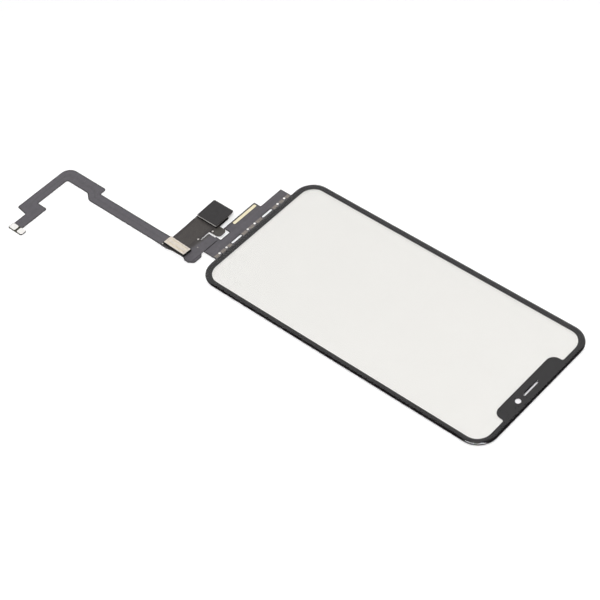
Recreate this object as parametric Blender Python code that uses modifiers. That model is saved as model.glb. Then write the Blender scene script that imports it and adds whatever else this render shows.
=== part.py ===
"""Front glass and touch panel of a phone with its flat circuits, lying face up.

Metres, +Z up. The origin is the centre of the panel's back face, on the plane that the panel rests
on. +Y points to the notched end, +X to the right of someone who faces the glass. The circuits leave
the panel at its -Y end, and their distances are measured from the glass edge there.
"""
import math

import bmesh
import bpy
from mathutils import Matrix

MM = 0.001

# Outline accuracy and the tools' tolerances
CHORD_ERROR = 0.015 * MM
WELD = 0.001 * MM
FLAT_ANGLE = 0.001
CUTTER_MARGIN = 0.5 * MM
COARSEST_CHORD = 0.25
DISC_SEGMENTS = 20
SHARP_ANGLE = math.radians(30)

# Stack of the panel, from the back to the front
BOND_GAP = 0.02 * MM
FILM_THICKNESS = 0.10 * MM
BOND_THICKNESS = 0.02 * MM
CIRCUIT_THICKNESS = 0.12 * MM
INK_THICKNESS = 0.03 * MM
GLASS_THICKNESS = 0.85 * MM

BOND_Z = FILM_THICKNESS + BOND_GAP
CIRCUIT_Z = BOND_Z + BOND_THICKNESS + BOND_GAP
INK_Z = CIRCUIT_Z + CIRCUIT_THICKNESS + BOND_GAP
GLASS_Z = INK_Z + INK_THICKNESS + BOND_GAP
LAP_Z = CIRCUIT_Z + CIRCUIT_THICKNESS + BOND_GAP
CONTROLLER_Z = LAP_Z + BOND_THICKNESS + BOND_GAP
CONTROLLER_TOP = CONTROLLER_Z + CIRCUIT_THICKNESS

# Cover glass
GLASS_WIDTH = 67.4 * MM
GLASS_LENGTH = 140.7 * MM
GLASS_CORNER = 8.6 * MM
GLASS_CORNER_PIECES = 14
GLASS_BACK_CHAMFER = 0.05 * MM
GLASS_WALL = 0.20 * MM
RIM_RUN = 1.2 * MM
RIM_DROP = GLASS_THICKNESS - GLASS_BACK_CHAMFER - GLASS_WALL
RIM_SEGMENTS = 8
GLASS_END = -GLASS_LENGTH / 2

# Black border, its window and its notch
INK_INSET = 0.05 * MM
BORDER_SIDE = 2.5 * MM
BORDER_END = 2.8 * MM
WINDOW_WIDTH = GLASS_WIDTH - 2 * BORDER_SIDE
WINDOW_LENGTH = GLASS_LENGTH - 2 * BORDER_END
WINDOW_CORNER = 6.0 * MM
NOTCH_WIDTH = 35.4 * MM
NOTCH_DEPTH = 4.95 * MM
NOTCH_CORNER = 3.4 * MM
NOTCH_FILLET = 0.8 * MM

# Earpiece slot and camera circle in the notch, from the glass edge at the notched end
EARPIECE_LENGTH = 8.0 * MM
EARPIECE_WIDTH = 0.65 * MM
EARPIECE_INSET = 4.05 * MM
EARPIECE_PRINT_MARGIN = 0.1 * MM
CAMERA_X = 7.5 * MM
CAMERA_INSET = 4.15 * MM
CAMERA_DIAMETER = 2.3 * MM

# Adhesive and film, cut out behind the notch and round the bonded circuit
FILM_INSET = 0.6 * MM
ADHESIVE_INSET = 0.75 * MM
NOTCH_CUT_MARGIN = 1.2 * MM
CUT_CORNER = 1.0 * MM
BOND_CLEARANCE = 0.3 * MM

# Bonded circuit. Reaches are distances below the glass edge. On the circuits after this one, X is
# measured from this one's right end.
STRIP_SIDE_MARGIN = 11.45 * MM
STRIP_HALF_WIDTH = GLASS_WIDTH / 2 - STRIP_SIDE_MARGIN
STRIP_BONDED = 1.7 * MM
STRIP_CORNER = 0.3 * MM
STRIP_SHALLOW_REACH = 5.9 * MM
STRIP_SHALLOW_END_X = -10.15 * MM
STRIP_DEEP_REACH = 9.45 * MM
STRIP_DEEP_END_X = 8.1 * MM
STRIP_STEP_REACH = 6.0 * MM
STRIP_LAP_X = -8.95 * MM
STRIP_LAP_REACH = 8.85 * MM
SLOT_LENGTH = 5.7 * MM
SLOT_WIDTH = 1.0 * MM
SLOT_REACH = 1.25 * MM
BOND_STRIP_WIDTH = 1.2 * MM
BOND_STRIP_MARGIN = 0.25 * MM

# Plated pads and the gold contact on the bonded circuit
PLATING_THICKNESS = 0.04 * MM
FIDUCIAL_LEFT_INSET = 5.05 * MM
FIDUCIAL_RIGHT_INSET = 5.25 * MM
FIDUCIAL_MIDDLE_X = 0.5 * MM
FIDUCIAL_PAIR_X = (
    -STRIP_HALF_WIDTH + FIDUCIAL_LEFT_INSET,
    FIDUCIAL_MIDDLE_X,
    STRIP_HALF_WIDTH - FIDUCIAL_RIGHT_INSET,
)
FIDUCIAL_HALF_PITCH = 2.0 * MM
FIDUCIAL_DIAMETER = 1.0 * MM
FIDUCIAL_REACH = 1.3 * MM
SLOT_SHIFTS = (-0.45 * MM, 0.35 * MM)
GROUND_X = -2.9 * MM
GROUND_REACH = 8.05 * MM
GROUND_LENGTH = 13.1 * MM
GROUND_WIDTH = 1.4 * MM
GROUND_CORNER = 0.5 * MM

# Controller circuit in its flat state: a finger, a slit, a tab, a board and a flap
CONTROLLER_CORNER = 0.3 * MM
FINGER_LEFT_X = -8.4 * MM
FINGER_REACH = 6.95 * MM
CONTROLLER_RIGHT_X = 7.05 * MM
CONTROLLER_SHOULDER = 1.0 * MM
SLIT_REACH = 12.15 * MM
SLIT_WIDTH = 0.4 * MM
SLIT_END_X = -4.05 * MM
TAB_LEFT_X = -13.7 * MM
TAB_RIGHT_X = -9.3 * MM
TAB_REACH = 7.05 * MM
TAB_CORNER = 1.5 * MM
BOARD_NEAR_REACH = 12.0 * MM
BOARD_FAR_REACH = 22.55 * MM
CONNECTOR_END_X = 1.85 * MM
CONNECTOR_END_REACH = 23.6 * MM
FLAP_NEAR_REACH = 11.2 * MM
FLAP_FAR_REACH = 22.0 * MM
FLAP_STEP_X = -21.35 * MM
FLAP_NARROW_RUN = 0.4 * MM

# The board end rises towards -X, and the flap folds back over it round the chip
LIFT_START_X = -0.25 * MM
LIFT_BEND = 6.0 * MM
LIFT_SLOPE = 0.045
LIFT_BLEND = 2.0 * MM
LIFT_CUTS = 4
BLEND_CUTS = 4
FOLD_X = -22.35 * MM
FOLD_SEGMENTS = 10
FLAP_LENGTH = 10.05 * MM

# Chip and what lies round it
CHIP_LEFT_X = -20.65 * MM
CHIP_WIDTH = 6.8 * MM
CHIP_NEAR_REACH = 12.4 * MM
CHIP_LENGTH = 8.6 * MM
CHIP_THICKNESS = 0.70 * MM
CHIP_BEVEL = 0.06 * MM
CAPACITOR_COUNT = 4
CAPACITOR_X = -21.5 * MM
CAPACITOR_PITCH = 2.2 * MM
CAPACITOR_WIDTH = 0.5 * MM
CAPACITOR_LENGTH = 1.0 * MM
CAPACITOR_HEIGHT = 0.35 * MM
BOARD_STIFFENER_THICKNESS = 0.15 * MM
BOARD_STIFFENER_LEFT_X = -21.05 * MM
BOARD_STIFFENER_RIGHT_X = -8.25 * MM
BOARD_STIFFENER_NEAR_REACH = 13.3 * MM
BOARD_STIFFENER_FAR_REACH = 22.1 * MM
FLAP_STIFFENER_THICKNESS = 0.20 * MM
FLAP_STIFFENER_PROUD = 0.2 * MM
FLAP_STIFFENER_MARGIN = 0.1 * MM
TAPE_THICKNESS = 0.06 * MM
TAPE_START_X = -22.25 * MM
FLAP_PLATE_CORNER = 0.4 * MM
FOLD_RADIUS = (CHIP_THICKNESS + 2 * BOND_GAP + CIRCUIT_THICKNESS) / 2
CHIP_Z = CONTROLLER_TOP + BOND_GAP
FLAP_TOP = CONTROLLER_TOP + 2 * FOLD_RADIUS

# Round test pads on the controller circuit: X from the strip's end, reach and diameter
TEST_PADS = (
    (-10.05 * MM, 11.45 * MM, 0.8 * MM),
    (-3.55 * MM, 13.3 * MM, 0.8 * MM),
    (-0.2 * MM, 10.4 * MM, 0.6 * MM),
    (6.7 * MM, 23.2 * MM, 0.4 * MM),
)

# Joints between the circuits
LAP_BOND_LEFT_X = -7.55 * MM
LAP_BOND_RIGHT_X = -0.45 * MM
LAP_BOND_NEAR_REACH = 7.2 * MM
TAIL_BOND_LEFT_X = 2.35 * MM
TAIL_BOND_RIGHT_X = 6.65 * MM
TAIL_BOND_NEAR_REACH = 7.6 * MM
TAIL_BOND_FAR_REACH = 23.0 * MM
BOND_EDGE_MARGIN = 0.25 * MM

# Connector, turned a little on the circuit
CONNECTOR_X = 4.58 * MM
CONNECTOR_REACH = 16.92 * MM
CONNECTOR_TURN = math.radians(-1.83)
BASE_WIDTH = 4.4 * MM
BASE_LENGTH = 11.7 * MM
BASE_HEIGHT = 0.70 * MM
BASE_CORNER = 0.25 * MM
HOUSING_WIDTH = 3.98 * MM
HOUSING_LENGTH = 11.3 * MM
HOUSING_HEIGHT = 0.42 * MM
HOUSING_CORNER = 0.3 * MM
HOUSING_BEVEL = 0.06 * MM
HOUSING_BEVEL_ANGLE = math.radians(60)
TONGUE_WIDTH = 1.3 * MM
TONGUE_LENGTH = 8.9 * MM
GROOVE_WIDTH = 0.7 * MM
GROOVE_DEPTH = 0.27 * MM
GROOVE_CORNER = 0.3 * MM
CONTACTS_PER_SIDE = 10
CONTACT_PITCH = 0.85 * MM
CONTACT_WIDTH = 0.3 * MM
CONTACT_THICKNESS = 0.05 * MM
CONTACT_FOOT = 0.55 * MM
CONTACT_RISE = 0.2 * MM
CONNECTOR_STIFFENER_WIDTH = 4.6 * MM
CONNECTOR_STIFFENER_LENGTH = 12.0 * MM
CONNECTOR_STIFFENER_THICKNESS = 0.12 * MM

# Tail circuit: its head lies under the controller circuit, the rest sinks to the table
TAIL_SINK_START = 24.2 * MM
TAIL_SINK_LENGTH = 4.5 * MM
TAIL_SINK_CUTS = 5
TAIL_CORNER = 0.3 * MM

# Head of the tail: the sides of its crown slope to shoulders, and the right side has a waist
HEAD_LEFT_X = 0.75 * MM
HEAD_LEFT_REACH = 7.25 * MM
HEAD_LEFT_END = 9.0 * MM
CROWN_LEFT_X = 2.65 * MM
CROWN_LEFT_REACH = 5.75 * MM
CROWN_LEFT_CORNER = 0.6 * MM
CROWN_RIGHT_X = 6.45 * MM
CROWN_RIGHT_REACH = 5.7 * MM
CROWN_RIGHT_CORNER = 1.2 * MM
SHOULDER_X = 7.95 * MM
SHOULDER_REACH = 7.9 * MM
SHOULDER_END = 9.9 * MM
SHOULDER_CORNER = 0.7 * MM
WAIST_X = 7.05 * MM
WAIST_REACH = 11.4 * MM
WAIST_END = 17.3 * MM
HIP_X = 7.7 * MM
HIP_REACH = 20.6 * MM
HIP_END = 27.0 * MM
HIP_CORNER = 2.0 * MM

# Arm, kink, cross bar and stub of the tail
ARM_LEFT_X = 1.9 * MM
ARM_LEFT_REACH = 12.0 * MM
ARM_RIGHT_X = 7.4 * MM
KINK_LEFT_REACH = 63.9 * MM
KINK_LEFT_CORNER = 1.2 * MM
KINK_RIGHT_REACH = 65.4 * MM
KINK_RIGHT_END = 68.85 * MM
KINK_RIGHT_CORNER = 2.2 * MM
KINK_END_CORNER = 1.4 * MM
LEG_LEFT_X = -1.47 * MM
LEG_RIGHT_X = 4.65 * MM
LEG_CORNER = 4.5 * MM
CROSS_NEAR_REACH = 81.0 * MM
CROSS_FAR_REACH = 86.35 * MM
CROSS_END_X = 28.7 * MM
CROSS_SLANT = 0.85 * MM
CROSS_CORNER = 0.9 * MM
STUB_LEFT_X = 21.25 * MM
STUB_NEAR_REACH = 75.6 * MM
STUB_FAR_REACH = 80.65 * MM

# Terminal at the end of the tail, with two plated pads
TERMINAL_LEFT_X = 35.1 * MM
TERMINAL_NEAR_REACH = 72.9 * MM
TERMINAL_CORNER = 0.8 * MM
PAD_WIDTH = 2.75 * MM
PAD_LENGTHS = (3.0 * MM, 3.4 * MM)
PAD_GAP = 1.15 * MM
PAD_RIM = 0.30 * MM
PAD_CORNER = 0.7 * MM
PAD_THICKNESS = 0.20 * MM

# Materials: linear colour, roughness, metallic, transmission
FINISHES = {
    "clear_glass": ((0.92, 0.94, 0.93), 0.03, 0.0, 1.0),
    "black_print": ((0.010, 0.010, 0.011), 0.35, 0.0, 0.0),
    "clear_adhesive": ((0.93, 0.94, 0.92), 0.15, 0.0, 1.0),
    "clear_film": ((0.90, 0.91, 0.88), 0.10, 0.0, 1.0),
    "grey_circuit": ((0.125, 0.122, 0.135), 0.45, 0.0, 0.0),
    "brown_circuit": ((0.090, 0.080, 0.076), 0.50, 0.0, 0.0),
    "bond": ((0.30, 0.22, 0.12), 0.60, 0.0, 0.0),
    "tin": ((0.80, 0.79, 0.76), 0.30, 1.0, 0.0),
    "gold": ((0.95, 0.80, 0.48), 0.28, 1.0, 0.0),
    "chip": ((0.020, 0.020, 0.021), 0.45, 0.0, 0.0),
    "ceramic": ((0.42, 0.33, 0.24), 0.40, 0.0, 0.0),
    "steel": ((0.62, 0.62, 0.61), 0.30, 1.0, 0.0),
    "black_film": ((0.060, 0.058, 0.060), 0.42, 0.0, 0.0),
    "black_plastic": ((0.012, 0.011, 0.010), 0.40, 0.0, 0.0),
    "cream_plastic": ((0.80, 0.72, 0.63), 0.45, 0.0, 0.0),
}


def clear_scene():
    """Remove every object and leftover data block."""
    for thing in list(bpy.data.objects):
        bpy.data.objects.remove(thing, do_unlink=True)
    for group in list(bpy.data.collections):
        bpy.data.collections.remove(group)


def make_collection(name):
    """A new collection under the scene's own."""
    group = bpy.data.collections.new(name)
    bpy.context.scene.collection.children.link(group)
    return group


def make_material(name, finish):
    """A Principled material with one of the named finishes."""
    colour, roughness, metallic, transmission = FINISHES[finish]
    material = bpy.data.materials.new(name)
    material.use_nodes = True
    shader = material.node_tree.nodes["Principled BSDF"]
    shader.inputs["Base Color"].default_value = (*colour, 1.0)
    shader.inputs["Roughness"].default_value = roughness
    shader.inputs["Metallic"].default_value = metallic
    shader.inputs["Transmission Weight"].default_value = transmission
    material.diffuse_color = (*colour, 1.0)
    return material


def below(reach):
    """The Y of a place on the circuits, from its distance below the glass edge."""
    return GLASS_END - reach


def across(offset):
    """The X of a place on the circuits, from its distance beyond the right end of the bonded one."""
    return STRIP_HALF_WIDTH + offset


def rounded(corners):
    """The points of a closed outline whose (x, y, radius) corners are rounded to arcs."""
    points = []
    count = len(corners)
    for index, (x, y, radius) in enumerate(corners):
        before = corners[index - 1]
        after = corners[(index + 1) % count]
        into = math.atan2(y - before[1], x - before[0])
        out = math.atan2(after[1] - y, after[0] - x)
        turn = math.remainder(out - into, math.tau)
        if radius == 0 or abs(turn) < FLAT_ANGLE:
            points.append((x, y))
            continue
        side = math.copysign(1, turn)
        back = radius * math.tan(abs(turn) / 2)
        start = (x - back * math.cos(into), y - back * math.sin(into))
        centre = (start[0] - side * radius * math.sin(into), start[1] + side * radius * math.cos(into))
        step = 2 * math.acos(1 - min(CHORD_ERROR / radius, COARSEST_CHORD))
        pieces = max(2, math.ceil(abs(turn) / step))
        for piece in range(pieces + 1):
            angle = into + turn * piece / pieces
            here = (
                centre[0] + side * radius * math.sin(angle),
                centre[1] - side * radius * math.cos(angle),
            )
            if not points or math.dist(points[-1], here) > WELD:
                points.append(here)
    if math.dist(points[0], points[-1]) < WELD:
        points.pop()
    return points


def box_corners(left, right, low, high, radius):
    """The corners of a rounded rectangle, for rounded()."""
    return [(left, low, radius), (right, low, radius), (right, high, radius), (left, high, radius)]


def centred_box(width, length, radius):
    """The corners of a rounded rectangle about the origin."""
    return box_corners(-width / 2, width / 2, -length / 2, length / 2, radius)


def plate(name, group, finish, thickness, outer, holes=(), place=(0, 0, 0), turn=0.0):
    """A flat piece: a filled 2D curve, extruded upwards from its place and made a mesh."""
    curve = bpy.data.curves.new(name, "CURVE")
    curve.dimensions = "2D"
    curve.fill_mode = "BOTH"
    curve.extrude = thickness / 2
    for corners in (outer, *holes):
        points = rounded(corners)
        spline = curve.splines.new("POLY")
        spline.points.add(len(points) - 1)
        spline.use_cyclic_u = True
        for point, (x, y) in zip(spline.points, points):
            point.co = (x, y, 0, 1)
    drawn = bpy.data.objects.new(name, curve)
    group.objects.link(drawn)
    graph = bpy.context.evaluated_depsgraph_get()
    mesh = bpy.data.meshes.new_from_object(drawn.evaluated_get(graph))
    mesh.transform(Matrix.Translation((0, 0, thickness / 2)))
    bpy.data.objects.remove(drawn)
    bpy.data.curves.remove(curve)
    work = bmesh.new()
    work.from_mesh(mesh)
    bmesh.ops.remove_doubles(work, verts=work.verts, dist=WELD)
    bmesh.ops.dissolve_limit(work, angle_limit=FLAT_ANGLE, verts=work.verts, edges=work.edges)
    bmesh.ops.recalc_face_normals(work, faces=work.faces)
    work.to_mesh(mesh)
    work.free()
    solid = bpy.data.objects.new(name, mesh)
    group.objects.link(solid)
    solid.location = place
    solid.rotation_euler = (0, 0, turn)
    mesh.name = name
    mesh.materials.clear()
    mesh.materials.append(make_material(name, finish))
    return solid


def disc(name, group, finish, diameter, thickness, place):
    """A round flat pad."""
    work = bmesh.new()
    radius = diameter / 2
    bmesh.ops.create_cone(
        work,
        cap_ends=True,
        segments=DISC_SEGMENTS,
        radius1=radius,
        radius2=radius,
        depth=thickness,
    )
    bmesh.ops.translate(work, verts=work.verts, vec=(0, 0, thickness / 2))
    mesh = bpy.data.meshes.new(name)
    work.to_mesh(mesh)
    work.free()
    mesh.materials.append(make_material(name, finish))
    pad = bpy.data.objects.new(name, mesh)
    group.objects.link(pad)
    pad.location = place
    return pad


def bevel(solid, width, segments, angle=SHARP_ANGLE):
    """Round the sharp edges of a piece."""
    rounding = solid.modifiers.new("rounding", "BEVEL")
    rounding.width = width
    rounding.segments = segments
    rounding.limit_method = "ANGLE"
    rounding.angle_limit = angle


def cut(solid, cutter):
    """Take one closed piece out of another."""
    cutter.hide_render = True
    cutter.display_type = "WIRE"
    taking = solid.modifiers.new("cut", "BOOLEAN")
    taking.operation = "DIFFERENCE"
    taking.solver = "EXACT"
    taking.object = cutter


def panel_corners(inset):
    """The panel's rounded rectangle, this far inside the glass edge."""
    return centred_box(GLASS_WIDTH - 2 * inset, GLASS_LENGTH - 2 * inset, GLASS_CORNER - inset)


def earpiece_corners(margin):
    """The earpiece slot, with this much more all round."""
    y = GLASS_LENGTH / 2 - EARPIECE_INSET
    reach = EARPIECE_LENGTH / 2 + margin
    half = EARPIECE_WIDTH / 2 + margin
    return box_corners(-reach, reach, y - half, y + half, half)


def glass_section():
    """The edge of the glass as (inset, height) pairs: back chamfer, wall and long rounded rim."""
    section = [(GLASS_BACK_CHAMFER, 0), (0, GLASS_BACK_CHAMFER)]
    for segment in range(RIM_SEGMENTS + 1):
        angle = math.pi / 2 * segment / RIM_SEGMENTS
        inset = RIM_RUN * (1 - math.cos(angle))
        section.append((inset, GLASS_THICKNESS - RIM_DROP * (1 - math.sin(angle))))
    return section


def glass_ring(inset):
    """A line this far inside the glass edge, with as many points at any inset."""
    radius = GLASS_CORNER - inset
    points = []
    for quarter, (x_side, y_side) in enumerate(((1, 1), (-1, 1), (-1, -1), (1, -1))):
        x = x_side * (GLASS_WIDTH / 2 - GLASS_CORNER)
        y = y_side * (GLASS_LENGTH / 2 - GLASS_CORNER)
        for piece in range(GLASS_CORNER_PIECES + 1):
            angle = math.pi / 2 * (quarter + piece / GLASS_CORNER_PIECES)
            points.append((x + radius * math.cos(angle), y + radius * math.sin(angle)))
    return points


def make_cover_glass(parts, cutters):
    """The glass, lofted from its back over the wall and the rim to the flat front."""
    work = bmesh.new()
    rings = [
        [work.verts.new((x, y, height)) for x, y in glass_ring(inset)]
        for inset, height in glass_section()
    ]
    for lower, upper in zip(rings, rings[1:]):
        for index, corner in enumerate(lower):
            after = (index + 1) % len(lower)
            work.faces.new((corner, lower[after], upper[after], upper[index]))
    work.faces.new(rings[0][::-1])
    work.faces.new(rings[-1])
    mesh = bpy.data.meshes.new("cover_glass")
    work.to_mesh(mesh)
    work.free()
    mesh.materials.append(make_material("cover_glass", "clear_glass"))
    glass = bpy.data.objects.new("cover_glass", mesh)
    parts.objects.link(glass)
    glass.location = (0, 0, GLASS_Z)
    slot = plate(
        "earpiece_cutter",
        cutters,
        "steel",
        GLASS_THICKNESS + 2 * CUTTER_MARGIN,
        earpiece_corners(0),
        place=(0, 0, GLASS_Z - CUTTER_MARGIN),
    )
    cut(glass, slot)
    for face in glass.data.polygons:
        face.use_smooth = True
    glass.data.set_sharp_from_angle(angle=SHARP_ANGLE)


def make_ink_border(parts):
    """The black print: a ring with the notch, the earpiece slot and the camera circle."""
    half_width = WINDOW_WIDTH / 2
    half_length = WINDOW_LENGTH / 2
    half_notch = NOTCH_WIDTH / 2
    bottom = half_length - NOTCH_DEPTH
    window = [
        (-half_width, -half_length, WINDOW_CORNER),
        (half_width, -half_length, WINDOW_CORNER),
        (half_width, half_length, WINDOW_CORNER),
        (half_notch, half_length, NOTCH_FILLET),
        (half_notch, bottom, NOTCH_CORNER),
        (-half_notch, bottom, NOTCH_CORNER),
        (-half_notch, half_length, NOTCH_FILLET),
        (-half_width, half_length, WINDOW_CORNER),
    ]
    radius = CAMERA_DIAMETER / 2
    camera_y = GLASS_LENGTH / 2 - CAMERA_INSET
    camera = box_corners(
        CAMERA_X - radius, CAMERA_X + radius, camera_y - radius, camera_y + radius, radius
    )
    plate(
        "ink_border",
        parts,
        "black_print",
        INK_THICKNESS,
        panel_corners(INK_INSET),
        holes=(window, earpiece_corners(EARPIECE_PRINT_MARGIN), camera),
        place=(0, 0, INK_Z),
    )


def notched_end(inset):
    """The upper corners of the film and the adhesive, cut out behind the notch."""
    half_width = GLASS_WIDTH / 2 - inset
    end = GLASS_LENGTH / 2 - inset
    corner = GLASS_CORNER - inset
    half_cut = NOTCH_WIDTH / 2 - NOTCH_CUT_MARGIN
    cut_bottom = WINDOW_LENGTH / 2 - NOTCH_DEPTH + NOTCH_CUT_MARGIN
    return [
        (half_width, end, corner),
        (half_cut, end, CUT_CORNER),
        (half_cut, cut_bottom, CUT_CORNER),
        (-half_cut, cut_bottom, CUT_CORNER),
        (-half_cut, end, CUT_CORNER),
        (-half_width, end, corner),
    ]


def make_film_and_adhesive(parts):
    """The clear sensor film at the back and the clear adhesive that fixes it to the glass."""
    half_width = GLASS_WIDTH / 2 - FILM_INSET
    end = -GLASS_LENGTH / 2 + FILM_INSET
    corner = GLASS_CORNER - FILM_INSET
    outline = [(-half_width, end, corner), (half_width, end, corner), *notched_end(FILM_INSET)]
    plate("touch_sensor_film", parts, "clear_film", FILM_THICKNESS, outline)
    half_width = GLASS_WIDTH / 2 - ADHESIVE_INSET
    end = -GLASS_LENGTH / 2 + ADHESIVE_INSET
    corner = GLASS_CORNER - ADHESIVE_INSET
    half_recess = STRIP_HALF_WIDTH + BOND_CLEARANCE
    recess_end = GLASS_END + STRIP_BONDED + BOND_CLEARANCE
    outline = [
        (-half_width, end, corner),
        (-half_recess, end, STRIP_CORNER),
        (-half_recess, recess_end, STRIP_CORNER),
        (half_recess, recess_end, STRIP_CORNER),
        (half_recess, end, STRIP_CORNER),
        (half_width, end, corner),
        *notched_end(ADHESIVE_INSET),
    ]
    thickness = CIRCUIT_Z + CIRCUIT_THICKNESS - BOND_Z
    plate("optical_adhesive", parts, "clear_adhesive", thickness, outline, place=(0, 0, BOND_Z))


def make_bonded_circuit(parts):
    """The circuit on the panel's lower edge, its bond, its pads and its gold contact."""
    half = STRIP_HALF_WIDTH
    outline = [
        (half, GLASS_END + STRIP_BONDED, STRIP_CORNER),
        (-half, GLASS_END + STRIP_BONDED, STRIP_CORNER),
        (-half, below(STRIP_SHALLOW_REACH), STRIP_CORNER),
        (STRIP_SHALLOW_END_X, below(STRIP_SHALLOW_REACH), STRIP_CORNER),
        (STRIP_SHALLOW_END_X, below(STRIP_DEEP_REACH), STRIP_CORNER),
        (STRIP_DEEP_END_X, below(STRIP_DEEP_REACH), STRIP_CORNER),
        (STRIP_DEEP_END_X, below(STRIP_STEP_REACH), STRIP_CORNER),
        (across(STRIP_LAP_X), below(STRIP_STEP_REACH), STRIP_CORNER),
        (across(STRIP_LAP_X), below(STRIP_LAP_REACH), STRIP_CORNER),
        (half, below(STRIP_LAP_REACH), STRIP_CORNER),
    ]
    slots = []
    for before, after, shift in zip(FIDUCIAL_PAIR_X, FIDUCIAL_PAIR_X[1:], SLOT_SHIFTS):
        x = (before + after) / 2 + shift
        low = below(SLOT_REACH) - SLOT_WIDTH / 2
        high = below(SLOT_REACH) + SLOT_WIDTH / 2
        slots.append(box_corners(x - SLOT_LENGTH / 2, x + SLOT_LENGTH / 2, low, high, SLOT_WIDTH / 2))
    plate(
        "bonding_flex",
        parts,
        "grey_circuit",
        CIRCUIT_THICKNESS,
        outline,
        holes=slots,
        place=(0, 0, CIRCUIT_Z),
    )
    bond_top = GLASS_END + STRIP_BONDED - BOND_STRIP_MARGIN
    bond = box_corners(
        -half + BOND_STRIP_MARGIN,
        half - BOND_STRIP_MARGIN,
        bond_top - BOND_STRIP_WIDTH,
        bond_top,
        0,
    )
    plate("bond_strip", parts, "bond", BOND_THICKNESS, bond, place=(0, 0, BOND_Z))
    plated_z = CIRCUIT_Z + CIRCUIT_THICKNESS + BOND_GAP
    number = 0
    for pair_x in FIDUCIAL_PAIR_X:
        for side in (-1, 1):
            number += 1
            disc(
                f"fiducial_pad_{number}",
                parts,
                "tin",
                FIDUCIAL_DIAMETER,
                PLATING_THICKNESS,
                (pair_x + side * FIDUCIAL_HALF_PITCH, below(FIDUCIAL_REACH), plated_z),
            )
    plate(
        "ground_strip",
        parts,
        "gold",
        PLATING_THICKNESS,
        centred_box(GROUND_LENGTH, GROUND_WIDTH, GROUND_CORNER),
        place=(GROUND_X, below(GROUND_REACH), plated_z),
    )


def smooth(share):
    """An even start and end for a rise, from 0 to 1."""
    share = min(max(share, 0.0), 1.0)
    return share * share * (3 - 2 * share)


def lift(x, y):
    """How far the controller circuit stands above its flat state at a place in plan."""
    run = across(LIFT_START_X) - x
    slit_low = below(SLIT_REACH) - SLIT_WIDTH
    if run <= 0 or (x > across(TAB_RIGHT_X) and y > slit_low + WELD):
        return 0.0
    if run < LIFT_BEND:
        height = LIFT_SLOPE * run * run / (2 * LIFT_BEND)
    else:
        height = LIFT_SLOPE * (run - LIFT_BEND / 2)
    if x <= across(TAB_RIGHT_X):
        return height
    return height * smooth((slit_low - y + max(0.0, across(SLIT_END_X) - x)) / LIFT_BLEND)


def fold(x, z):
    """Bend the flat circuit up and back over itself, left of the fold line."""
    run = across(FOLD_X) - x
    if run <= 0:
        return x, z
    middle = CIRCUIT_THICKNESS / 2
    radius = FOLD_RADIUS - (z - middle)
    angle = min(run / FOLD_RADIUS, math.pi)
    past = max(0.0, run - math.pi * FOLD_RADIUS)
    return (
        across(FOLD_X) - radius * math.sin(angle) + past,
        middle + FOLD_RADIUS - radius * math.cos(angle),
    )


def slice_sheet(work, axis, start, run, cuts):
    """Add edges across a flat piece for it to bend at, from a start through a run backwards."""
    normal = (1, 0, 0) if axis == "x" else (0, 1, 0)
    for index in range(cuts + 1):
        place = start - run * index / cuts
        point = (place, 0, 0) if axis == "x" else (0, place, 0)
        everything = [*work.verts, *work.edges, *work.faces]
        bmesh.ops.bisect_plane(work, geom=everything, dist=WELD, plane_co=point, plane_no=normal)


def make_controller_flex(parts):
    """The controller circuit, drawn flat, then folded over the chip and lifted at the board."""
    arc = math.pi * FOLD_RADIUS
    flap_end_x = across(FOLD_X) - arc - FLAP_LENGTH
    widening_x = across(FOLD_X) - arc - FLAP_NARROW_RUN
    slit_high = below(SLIT_REACH)
    slit_low = slit_high - SLIT_WIDTH
    slit_end = SLIT_WIDTH / 2
    corner = CONTROLLER_CORNER
    outline = [
        (across(CONTROLLER_RIGHT_X), below(CONNECTOR_END_REACH), corner),
        (across(CONTROLLER_RIGHT_X), below(FINGER_REACH), CONTROLLER_SHOULDER),
        (across(FINGER_LEFT_X), below(FINGER_REACH), slit_end),
        (across(FINGER_LEFT_X), slit_high, slit_end),
        (across(SLIT_END_X), slit_high, slit_end),
        (across(SLIT_END_X), slit_low, slit_end),
        (across(TAB_RIGHT_X), slit_low, slit_end),
        (across(TAB_RIGHT_X), below(TAB_REACH), TAB_CORNER),
        (across(TAB_LEFT_X), below(TAB_REACH), TAB_CORNER),
        (across(TAB_LEFT_X), below(BOARD_NEAR_REACH), corner),
        (widening_x, below(BOARD_NEAR_REACH), corner),
        (widening_x, below(FLAP_NEAR_REACH), corner),
        (flap_end_x, below(FLAP_NEAR_REACH), corner),
        (flap_end_x, below(FLAP_FAR_REACH), corner),
        (across(FLAP_STEP_X), below(FLAP_FAR_REACH), corner),
        (across(FLAP_STEP_X), below(BOARD_FAR_REACH), corner),
        (across(CONNECTOR_END_X), below(BOARD_FAR_REACH), corner),
        (across(CONNECTOR_END_X), below(CONNECTOR_END_REACH), corner),
    ]
    flex = plate(
        "controller_flex",
        parts,
        "brown_circuit",
        CIRCUIT_THICKNESS,
        outline,
        place=(0, 0, CONTROLLER_Z),
    )
    work = bmesh.new()
    work.from_mesh(flex.data)
    slice_sheet(work, "x", across(FOLD_X), arc, FOLD_SEGMENTS)
    slice_sheet(work, "x", across(LIFT_START_X), LIFT_BEND, LIFT_CUTS)
    slice_sheet(work, "y", slit_low, LIFT_BLEND, BLEND_CUTS)
    bmesh.ops.triangulate(work, faces=work.faces)
    for point in work.verts:
        x, z = fold(point.co.x, point.co.z)
        point.co = (x, point.co.y, z + lift(x, point.co.y))
    work.to_mesh(flex.data)
    work.free()


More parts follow.
